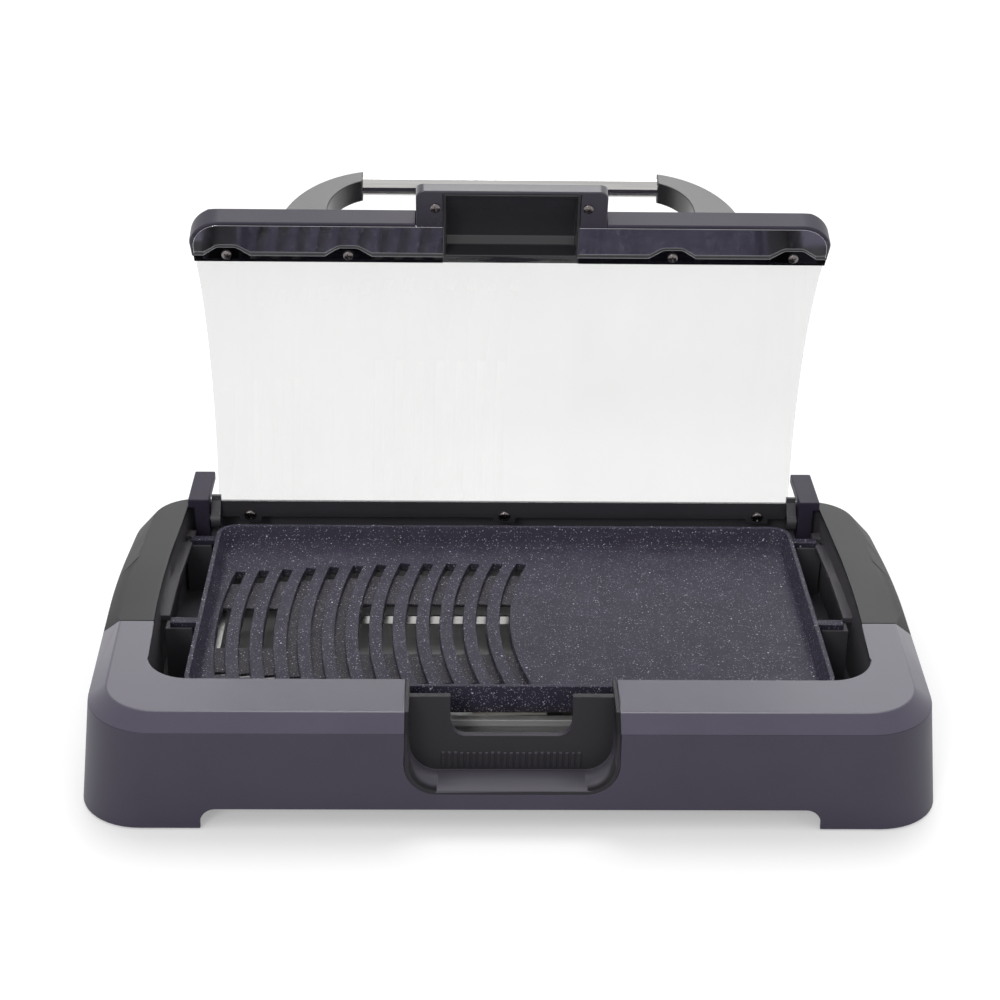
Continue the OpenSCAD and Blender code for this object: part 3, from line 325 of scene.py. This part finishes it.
def terminal_ceramic():
    """The terminal block's unglazed ceramic."""
    return moulded("terminal_ceramic", (0.60, 0.57, 0.51), 0.6, grain=1400, grain_depth=0.02, mottle=0.06)


def silicone():
    """The glass's black seals."""
    return moulded("silicone", (0.014, 0.014, 0.015), 0.55, grain=900)


def foot_rubber():
    """The feet's dull rubber."""
    return moulded("foot_rubber", (0.012, 0.012, 0.012), 0.75, grain=700, grain_depth=0.03)


def speckles(tree, per_metre, radius, share):
    """Specks scattered through space: one in some of the cells, each with its own size."""
    cells = add(tree, "ShaderNodeTexVoronoi", {"Vector": place(tree), "Scale": per_metre}, feature="F1")
    parts = add(tree, "ShaderNodeSeparateColor", {"Color": cells.outputs["Color"]})
    size = maths(tree, "MULTIPLY", parts.outputs[1], radius)
    inside = maths(tree, "LESS_THAN", cells.outputs["Distance"], size)
    chosen = maths(tree, "LESS_THAN", parts.outputs[0], share)
    return maths(tree, "MULTIPLY", inside, chosen)


# Heights between which the plate's channels lie, below its cooking surface, and over which their painted
# shade fades out
CHANNEL_FLOOR = 50.4 * MM
CHANNEL_TOP = 53.6 * MM
# The coating's specks: cells to the metre, largest radius in a cell, share of the cells and strength
SPECKS = ((950, 0.36, 0.62, 0.40), (460, 0.25, 0.62, 0.62), (190, 0.13, 0.30, 1.0))
SPECK_COLOUR = (0.52, 0.50, 0.58, 1)
# How far the cast plate's edges look rounded
PLATE_EDGE = 0.9 * MM


def coated_plate():
    """Non-stick coating: dark purple-grey, faintly pebbled, with pale specks of several sizes and painted
    shade, darker and greyer, down in the channels.
    """
    material, tree, shader = new_material("coated_plate", Specular_IOR_Level=0.14)
    cloud = spread(tree, noise(tree, 60, 5), 0, 1)
    upper = mix(tree, cloud, (0.025, 0.022, 0.037, 1), (0.039, 0.035, 0.056, 1))
    lower = mix(tree, cloud, (0.026, 0.023, 0.030, 1), (0.039, 0.035, 0.044, 1))
    # Painted shade: the darker, greyer colour towards the channels' floors
    sunk = spread(tree, separated(tree, place(tree))[2], 1, 0, CHANNEL_FLOOR, CHANNEL_TOP)
    pale = 0.0
    for per_metre, radius, share, strength in SPECKS:
        specks = maths(tree, "MULTIPLY", speckles(tree, per_metre, radius, share), strength)
        pale = maths(tree, "MAXIMUM", pale, specks)
    tinted(tree, shader, pale, mix(tree, sunk, upper, lower), SPECK_COLOUR)
    roughened(tree, shader, noise(tree, 300, 2), 0.44, 0.56)
    rounded = add(tree, "ShaderNodeBevel", {"Radius": PLATE_EDGE}, samples=6).outputs[0]
    pebbled = bump(tree, shader, noise(tree, 700, 3), 0.03 * MM, rounded)
    bump(tree, shader, pale, 0.02 * MM, pebbled)
    return material


def bright_steel():
    """Drawn steel, with fine lines along its length."""
    material, tree, shader = new_material("bright_steel", Metallic=1.0)
    lines = noise(tree, 700, 3, (0.02, 1, 1))
    tinted(tree, shader, spread(tree, lines, 0, 1), (0.46, 0.45, 0.44, 1), (0.56, 0.55, 0.54, 1))
    roughened(tree, shader, lines, 0.10, 0.18)
    bump(tree, shader, lines, 0.003 * MM)
    return material


def mirror_steel(name="mirror_steel", grey=0.95):
    """Mirror-polished stainless sheet, very slightly wavy from pressing."""
    material, tree, shader = new_material(name, Metallic=1.0)
    smear = noise(tree, 90, 4)
    colour = (grey, grey, grey * 1.03)
    tinted(tree, shader, spread(tree, smear, 0, 1), shaded(colour, 0.96), shaded(colour, 1.04))
    roughened(tree, shader, smear, 0.04, 0.09)
    bump(tree, shader, noise(tree, 38, 1), 0.03 * MM)
    return material


# How far the painted highlight along the clamp strips' edges reaches
EDGE_HIGHLIGHT_REACH = 0.55 * MM


def smoked_steel():
    """The same mirror polish, made dark grey, with a painted highlight along its edges."""
    material = mirror_steel("smoked_steel", 0.075)
    tree = material.node_tree
    # Painted highlight: a pale colour where the rounded normal leans away from the flat one
    rounded = add(tree, "ShaderNodeBevel", {"Radius": EDGE_HIGHLIGHT_REACH}, samples=8).outputs[0]
    flat = add(tree, "ShaderNodeNewGeometry").outputs["Normal"]
    product = add(tree, "ShaderNodeVectorMath", {0: rounded, 1: flat}, operation="DOT_PRODUCT")
    edge_highlight = spread(tree, product.outputs["Value"], 1, 0, 0.90, 0.99)
    overlaid(tree, edge_highlight, (0.42, 0.41, 0.43, 1))
    return material


def tray_metal():
    """Rolled sheet, dulled by use."""
    material, tree, shader = new_material("tray_metal", Metallic=0.55)
    rolled = noise(tree, 420, 3, (0.05, 1, 1))
    tinted(tree, shader, spread(tree, rolled, 0, 1), (0.64, 0.64, 0.63, 1), (0.72, 0.72, 0.71, 1))
    roughened(tree, shader, rolled, 0.34, 0.46)
    bump(tree, shader, rolled, 0.006 * MM)
    return material


def element_steel():
    """Heater tube, dulled and mottled by heat."""
    material, tree, shader = new_material("element_steel", Metallic=0.9)
    scale = noise(tree, 130, 5)
    tinted(tree, shader, spread(tree, scale, 0, 1), (0.42, 0.40, 0.38, 1), (0.66, 0.64, 0.61, 1))
    roughened(tree, shader, scale, 0.40, 0.26)
    bump(tree, shader, noise(tree, 900, 3), 0.01 * MM)
    return material


def clear_glass():
    """Toughened glass, very slightly uneven in its tint as if wiped."""
    material, tree, shader = new_material("clear_glass", Transmission_Weight=1.0, IOR=1.5, Roughness=0.0)
    wipe = noise(tree, 26, 3, (1, 0.4, 0.4))
    tinted(tree, shader, spread(tree, wipe, 0, 1), (0.800, 0.805, 0.797, 1), (0.820, 0.824, 0.816, 1))
    return material


def screw_steel():
    """Nickel-plated screw heads with turned marks."""
    material, tree, shader = new_material("screw_steel", Metallic=1.0)
    marks = noise(tree, 1500, 2)
    tinted(tree, shader, spread(tree, marks, 0, 1), (0.10, 0.09, 0.09, 1), (0.24, 0.215, 0.215, 1))
    roughened(tree, shader, marks, 0.16, 0.30)
    bump(tree, shader, marks, 0.006 * MM)
    return material


FINISHES = {
    make.__name__: make()
    for make in (
        housing_plastic, band_plastic, post_plastic, hood_plastic, rim_plastic, rail_plastic,
        black_plastic, lightened_tub_plastic, arm_plastic, bay_plastic, gloss_black, terminal_ceramic, silicone,
        foot_rubber, coated_plate, bright_steel, mirror_steel, smoked_steel, tray_metal, element_steel,
        clear_glass, screw_steel,
    )
}

# The nodes of one slot that are polished or grained otherwise than the rest of it, or that carry painted
# light, shade or highlights
OWN_FINISHES = {
    "front_band": "band_plastic",
    "hinge_bracket_left": "post_plastic",
    "hinge_bracket_right": "post_plastic",
    "inner_tub": "lightened_tub_plastic",
    "bay_insert": "bay_plastic",
    "handle_arm_left": "arm_plastic",
    "handle_arm_right": "arm_plastic",
    "hood_shell": "hood_plastic",
    "clamp_strip_left": "smoked_steel",
    "clamp_strip_right": "smoked_steel",
}

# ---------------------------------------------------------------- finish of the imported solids

# Radius of the moulded or rolled edges, in millimetres; nodes that aren't here keep their sharp edges
EDGE_RADII = {
    "lower_housing": 0.8,
    "front_rim": 2.4,
    "side_rail_left": 2.0,
    "side_rail_right": 2.0,
    "rear_cover": 0.8,
    "inner_tub": 0.45,
    "bay_insert": 0.32,
    "bottom_plate": 0.5,
    "hinge_bracket_left": 1.0,
    "hinge_bracket_right": 1.0,
    "hinge_block_left": 0.3,
    "hinge_block_right": 0.3,
    "drip_tray": 0.25,
    "front_band": 0.95,
    "band_liner": 0.15,
    "rear_clamp": 0.4,
    "rear_band": 0.28,
    "hood_shell": 0.75,
    "hood_liner": 0.8,
    "handle_arm_left": 3.0,
    "handle_arm_right": 3.0,
}
# Edges that bend by more than this are rounded, each in so many steps
EDGE_ANGLE = math.radians(32)
EDGE_STEPS = 3
# Corners closer than this are one corner, and faces that bend by less than this are one face
WELD = 0.002 * MM
FLAT_ANGLE = math.radians(0.4)
# Edges that meet in one face at more than this angle run on from one another
CHAIN_ANGLE = math.radians(145)
LEAST_RADIUS = 0.1 * MM
# Share of a face's edge that the rounding of both its ends, or of one end, may take up
BOTH_ENDS = 0.48
ONE_END = 0.45
# How often edges without room are left out before the radii stand
TRIES = 4
CORNER_STEP = 0.01 * MM
# How strongly the large faces hold the shading of their edges flat
FACE_WEIGHT = 90


def corner(point):
    """A corner's place as whole steps, to tell the same corner in two meshes."""
    return tuple(round(value / CORNER_STEP) for value in point)


def flattened(mesh):
    """A copy of the mesh with its doubled corners joined and its flat areas made into single faces."""
    bm = bmesh.new()
    bm.from_mesh(mesh)
    bmesh.ops.remove_doubles(bm, verts=bm.verts, dist=WELD)
    bmesh.ops.dissolve_limit(bm, angle_limit=FLAT_ANGLE, verts=bm.verts, edges=bm.edges)
    return bm


def bends(edge):
    """Whether an edge is sharp enough to be rounded."""
    return edge.is_manifold and edge.calc_face_angle(0) > EDGE_ANGLE


def room_at(loop, rounded):
    """The largest radius that fits at one corner of a face, between the two edges that meet there."""
    first = loop.edge
    second = loop.link_loop_prev.edge
    if first not in rounded and second not in rounded:
        return None
    angle = loop.calc_angle()
    if first in rounded and second in rounded:
        if not loop.is_convex:
            return None
        return BOTH_ENDS * min(first.calc_length(), second.calc_length()) * math.tan(angle / 2)
    slid = second if first in rounded else first
    return ONE_END * slid.calc_length() * math.sin(angle)


def chains_of(rounded):
    """The chain that each rounded edge belongs to: edges that run on from one another nearly straight."""
    chain = {edge: edge for edge in rounded}

    def head(edge):
        while chain[edge] != edge:
            edge = chain[edge]
        return edge

    for edge in rounded:
        for loop in edge.link_loops:
            other = loop.link_loop_prev.edge
            if other in chain and loop.calc_angle() > CHAIN_ANGLE:
                chain[head(edge)] = head(other)
    return {edge: head(edge) for edge in rounded}


def edge_radii(bm, radius):
    """For each sharp edge, the radius in metres that its whole chain has room for."""
    rounded = {edge for edge in bm.edges if bends(edge)}
    for _ in range(TRIES):
        chain = chains_of(rounded)
        radii = {first: radius for first in set(chain.values())}
        for vert in bm.verts:
            for loop in vert.link_loops:
                room = room_at(loop, rounded)
                if room is None:
                    continue
                for edge in (loop.edge, loop.link_loop_prev.edge):
                    if edge in chain:
                        radii[chain[edge]] = min(radii[chain[edge]], room)
        kept = {edge for edge in rounded if radii[chain[edge]] >= LEAST_RADIUS}
        if kept == rounded:
            break
        rounded = kept
    return {edge: radii[chain[edge]] for edge in rounded if edge in chain}


def weigh_edges(mesh, radius):
    """Gives the mesh's edges the share of the radius that each has room for."""
    bm = flattened(mesh)
    share = {}
    for edge, room in edge_radii(bm, radius * MM).items():
        share[frozenset(corner(vert.co) for vert in edge.verts)] = room / (radius * MM)
    bm.free()
    spots = [corner(vert.co) for vert in mesh.vertices]
    values = [share.get(frozenset(spots[i] for i in edge.vertices), 0.0) for edge in mesh.edges]
    mesh.attributes.new("bevel_weight_edge", "FLOAT", "EDGE").data.foreach_set("value", values)


def soften(obj, radius):
    """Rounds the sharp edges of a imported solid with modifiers, its own corners left alone."""
    mesh = obj.data
    mesh.polygons.foreach_set("use_smooth", [True] * len(mesh.polygons))
    mesh.normals_split_custom_set([(0, 0, 0)] * len(mesh.loops))
    weigh_edges(mesh, radius)
    weld = obj.modifiers.new("weld", "WELD")
    weld.merge_threshold = WELD
    flats = obj.modifiers.new("flats", "DECIMATE")
    flats.decimate_type = "DISSOLVE"
    flats.angle_limit = FLAT_ANGLE
    edges = obj.modifiers.new("edges", "BEVEL")
    edges.width = radius * MM
    edges.segments = EDGE_STEPS
    edges.limit_method = "WEIGHT"
    edges.use_clamp_overlap = False
    normals = obj.modifiers.new("normals", "WEIGHTED_NORMAL")
    normals.weight = FACE_WEIGHT
    normals.keep_sharp = True


def finish_solids():
    """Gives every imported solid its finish, and rounds the edges of those that are listed."""
    for part in frame["record"]["subparts"]:
        obj = nodes[part["node"]]
        obj.data.materials.clear()
        finish = OWN_FINISHES.get(part["node"], part["material_slot"])
        obj.data.materials.append(FINISHES[finish])
        if part["node"] in EDGE_RADII:
            soften(obj, EDGE_RADII[part["node"]])
    # The pane lets the lamps' light through
    nodes["lid_glass"].visible_shadow = False


finish_solids()

# ---------------------------------------------------------------- screws and ridge


def mesh_object(name, bm, finish):
    """An object with a mesh that is built already."""
    mesh = bpy.data.meshes.new(name)
    bm.to_mesh(mesh)
    bm.free()
    mesh.materials.append(FINISHES[finish])
    obj = bpy.data.objects.new(name, mesh)
    scene.collection.objects.link(obj)
    return obj


def smooth(obj, degrees):
    """Smooth shading, apart from the edges that bend by more."""
    obj.data.polygons.foreach_set("use_smooth", [True] * len(obj.data.polygons))
    obj.data.set_sharp_from_angle(angle=math.radians(degrees))


def islands(node):
    """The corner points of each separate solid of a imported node."""
    bm = bmesh.new()
    bm.from_mesh(nodes[node].data)
    bmesh.ops.remove_doubles(bm, verts=bm.verts, dist=WELD)
    seen = set()
    groups = []
    for start in bm.verts:
        if start in seen:
            continue
        seen.add(start)
        queue = [start]
        group = []
        while queue:
            vert = queue.pop()
            group.append(vert.co.copy())
            for edge in vert.link_edges:
                other = edge.other_vert(vert)
                if other not in seen:
                    seen.add(other)
                    queue.append(other)
        groups.append(group)
    bm.free()
    return groups


def revolve(bm, profile, steps=32):
    """A closed turned solid about Z from (radius, height) points that start and end on the axis."""
    rings = []
    for radius, height in profile:
        if radius == 0:
            rings.append([bm.verts.new((0, 0, height))] * steps)
            continue
        ring = [(math.cos(math.tau * i / steps), math.sin(math.tau * i / steps)) for i in range(steps)]
        rings.append([bm.verts.new((radius * x, radius * y, height)) for x, y in ring])
    for low, high in zip(rings, rings[1:]):
        for i in range(steps):
            j = (i + 1) % steps
            corners = [low[i], low[j], high[j], high[i]]
            bm.faces.new(list(dict.fromkeys(corners)))


# The recess's foot and mouth, as shares of its arms' length and of their width
RECESS_FOOT = (0.55, 0.7)
RECESS_MOUTH = (1.25, 1.15)


def cross_cutter(arm, width, top, depth):
    """A cross with tapering arms, to be sunk into a screw head."""
    bm = bmesh.new()
    levels = ((top - depth, RECESS_FOOT), (top + depth, RECESS_MOUTH))
    for turn in (0, math.pi / 2):
        corners = []
        for height, (long, wide) in levels:
            for sx, sy in ((-1, -1), (1, -1), (1, 1), (-1, 1)):
                spot = Vector((sx * arm * long, sy * width * wide / 2, height))
                spot.rotate(Matrix.Rotation(turn, 3, "Z"))
                corners.append(bm.verts.new(spot))
        bm.faces.new(corners[3::-1])
        bm.faces.new(corners[4:])
        for i in range(4):
            j = (i + 1) % 4
            bm.faces.new((corners[i], corners[j], corners[4 + j], corners[4 + i]))
    mesh = bpy.data.meshes.new("cutter")
    bm.to_mesh(mesh)
    bm.free()
    cutter = bpy.data.objects.new("cutter", mesh)
    scene.collection.objects.link(cutter)
    return cutter


def baked(obj):
    """The mesh of an object with its modifiers applied."""
    bpy.context.view_layer.update()
    graph = bpy.context.evaluated_depsgraph_get()
    return bpy.data.meshes.new_from_object(obj.evaluated_get(graph))


# The corners of a screw head's domed outline, in degrees up from its rim, and the share of the head's
# height at which that rim lies
DOME_DEGREES = (0, 18, 36, 54, 70, 82)
RIM_SHARE = 0.45
# The recess's arms and their width as shares of the head's radius, and its depth of the head's height
RECESS_ARM = 0.62
RECESS_WIDTH = 0.26
RECESS_DEPTH = 0.62
SHANK_TIP = 0.6 * MM


def screw_mesh(radius, head, shank_radius, length):
    """One pan-head screw with a cross recess, its seat at height 0 and its head above it."""
    bm = bmesh.new()
    angles = [math.radians(degrees) for degrees in DOME_DEGREES]
    rise = 1 - RIM_SHARE
    dome = [(radius * math.cos(a), head * (RIM_SHARE + rise * math.sin(a))) for a in angles]
    profile = [(0, -length), (shank_radius * 0.8, -length), (shank_radius, -length + SHANK_TIP)]
    profile += [(shank_radius, 0), (radius * 0.97, 0), (radius, head * 0.12)]
    revolve(bm, profile + dome + [(0, head)])
    obj = mesh_object("screw", bm, "screw_steel")
    cutter = cross_cutter(radius * RECESS_ARM, radius * RECESS_WIDTH, head, head * RECESS_DEPTH)
    cut = obj.modifiers.new("cross", "BOOLEAN")
    cut.object = cutter
    cut.operation = "DIFFERENCE"
    cut.solver = "EXACT"
    cut.use_self = True
    mesh = baked(obj)
    bpy.data.objects.remove(cutter)
    bpy.data.objects.remove(obj)
    return mesh


# Corners this near to a screw's greatest radius belong to its head, and those this far below its seat
# to its shank
HEAD_SHARE = 0.98
SHANK_GAP = 0.2 * MM


def make_screws(name, node, body, out, turns):
    """Detailed screws in place of a packed group, with their heads towards out."""
    out = out.normalized()
    joined = bmesh.new()
    for index, points in enumerate(islands(node)):
        heights = [p.dot(out) for p in points]
        top = max(heights)
        middle = sum(points, Vector()) / len(points)
        across = [(p - middle - out * (p - middle).dot(out)).length for p in points]
        radius = max(across)
        head_points = [h for h, a in zip(heights, across) if a > radius * HEAD_SHARE]
        seat = min(head_points)
        shank = [a for h, a in zip(heights, across) if h < seat - SHANK_GAP]
        mesh = screw_mesh(radius, top - seat, max(shank, default=radius * 0.5), seat - min(heights))
        centre = middle + out * (seat - middle.dot(out))
        turn = out.to_track_quat("Z", "Y").to_matrix().to_4x4()
        spin = Matrix.Rotation(math.radians(turns[index % len(turns)]), 4, "Z")
        mesh.transform(Matrix.Translation(centre) @ turn @ spin)
        joined.from_mesh(mesh)
        bpy.data.meshes.remove(mesh)
    piece = mesh_object(name, joined, "screw_steel")
    smooth(piece, 40)
    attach(piece, body)
    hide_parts(node)


# The tray's ridge: its front foot, the floor under it, its height, the run of each slope, its top's
# width, half its length and the rounding of its edges
RIDGE_Y = 53.5 * MM
RIDGE_Z = 20.6 * MM
RIDGE_RISE = 5.4 * MM
RIDGE_RUN = 3.4 * MM
RIDGE_TOP = 1.2 * MM
RIDGE_HALF = 116 * MM
RIDGE_EDGE = 0.5 * MM


def make_ridge():
    """A folded ridge on the tray's floor, which stands in for the bright bars that the slots show."""
    crest = RIDGE_Y + RIDGE_RUN
    outline = [(RIDGE_Y, 0), (crest, RIDGE_RISE), (crest + RIDGE_TOP, RIDGE_RISE), (crest + RIDGE_RUN, 0)]
    bm = bmesh.new()
    ends = [[bm.verts.new((x, y, RIDGE_Z + z)) for y, z in outline] for x in (-RIDGE_HALF, RIDGE_HALF)]
    bm.faces.new(ends[0])
    bm.faces.new(reversed(ends[1]))
    for i in range(4):
        j = (i + 1) % 4
        bm.faces.new((ends[0][j], ends[0][i], ends[1][i], ends[1][j]))
    bmesh.ops.recalc_face_normals(bm, faces=bm.faces)
    piece = mesh_object("tray_ridge", bm, "bright_steel")
    round_off = piece.modifiers.new("edges", "BEVEL")
    round_off.width = RIDGE_EDGE
    round_off.segments = EDGE_STEPS
    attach(piece, "tray")


make_ridge()

# How far each screw has been turned in, in degrees, one after the other
SCREW_TURNS = (18, 52, 7, 38)
make_screws("clamp_screw_heads", "clamp_screws", "lid", -LID_OUT, SCREW_TURNS)
make_screws("hood_screw_heads", "hood_screws", "lid", -LID_OUT, SCREW_TURNS)
make_screws("rear_screw_heads", "rear_screws", "lid", -LID_OUT, SCREW_TURNS)

# ---------------------------------------------------------------- floor and light

# How strongly the plain surroundings light the object; what it mirrors is white
ROOM_LIGHT = 0.72
# Large soft lamps: name, strength, then in degrees height, bearing (0 behind, 90 right) and spread
LAMPS = (
    ("overhead", 0.90, 65, 4, 30),
    ("rear", 0.50, 27, 8, 44),
    ("front", 0.70, 31, 203, 16),
)
# In metres; a lamp of this kind lights alike from any distance
LAMP_DISTANCE = 3
# Half the floor's width in metres, and its grey
FLOOR_HALF = 6.0
FLOOR_COLOUR = 0.74
# What the floor gives off where it is seen, so that it shows white outside the shadow
FLOOR_LIFT = 0.30


def seen_directly(tree):
    """1 where the ray comes from the camera, off a gloss or through glass, and 0 where it only lights."""
    path = add(tree, "ShaderNodeLightPath").outputs
    seen = maths(tree, "MAXIMUM", path["Is Camera Ray"], path["Is Glossy Ray"])
    return maths(tree, "MAXIMUM", seen, path["Is Transmission Ray"])


def make_floor():
    """A plain pale floor, shown white outside the shadow."""
    half = FLOOR_HALF
    corners = [(-half, -half, 0), (half, -half, 0), (half, half, 0), (-half, half, 0)]
    mesh = bpy.data.meshes.new("floor")
    mesh.from_pydata(corners, [], [(0, 1, 2, 3)])
    floor = bpy.data.objects.new("floor", mesh)
    scene.collection.objects.link(floor)
    material, tree, shader = new_material("floor", Roughness=0.9, Specular_IOR_Level=0.0)
    shader.inputs["Base Color"].default_value = (FLOOR_COLOUR, FLOOR_COLOUR, FLOOR_COLOUR, 1)
    shader.inputs["Emission Color"].default_value = (1, 1, 1, 1)
    lift = maths(tree, "MULTIPLY", seen_directly(tree), FLOOR_LIFT)
    tree.links.new(lift, shader.inputs["Emission Strength"])
    mesh.materials.append(material)


def make_room():
    """Plain white surroundings, which light the object less than they show."""
    world = bpy.data.worlds.new("room")
    scene.world = world
    world.use_nodes = True
    tree = world.node_tree
    background = tree.nodes["Background"]
    background.inputs["Color"].default_value = (1, 1, 1, 1)
    strength = spread(tree, seen_directly(tree), ROOM_LIGHT, 1.0, 0, 1)
    tree.links.new(strength, background.inputs["Strength"])


def make_lamps():
    """The lamps, each aimed at the object's foot."""
    for name, strength, height, bearing, spread_angle in LAMPS:
        data = bpy.data.lights.new(name, "SUN")
        data.energy = strength
        data.angle = math.radians(spread_angle)
        lamp = bpy.data.objects.new(name, data)
        scene.collection.objects.link(lamp)
        level = math.cos(math.radians(height))
        side = math.radians(bearing)
        towards = Vector((level * math.sin(side), level * math.cos(side), math.sin(math.radians(height))))
        turn = (-towards).to_track_quat("-Z", "Y").to_matrix().to_4x4()
        lamp.matrix_world = Matrix.Translation(towards * LAMP_DISTANCE) @ turn
        lamp.visible_camera = False


make_floor()
make_room()
make_lamps()
scene.view_settings.view_transform = "Standard"
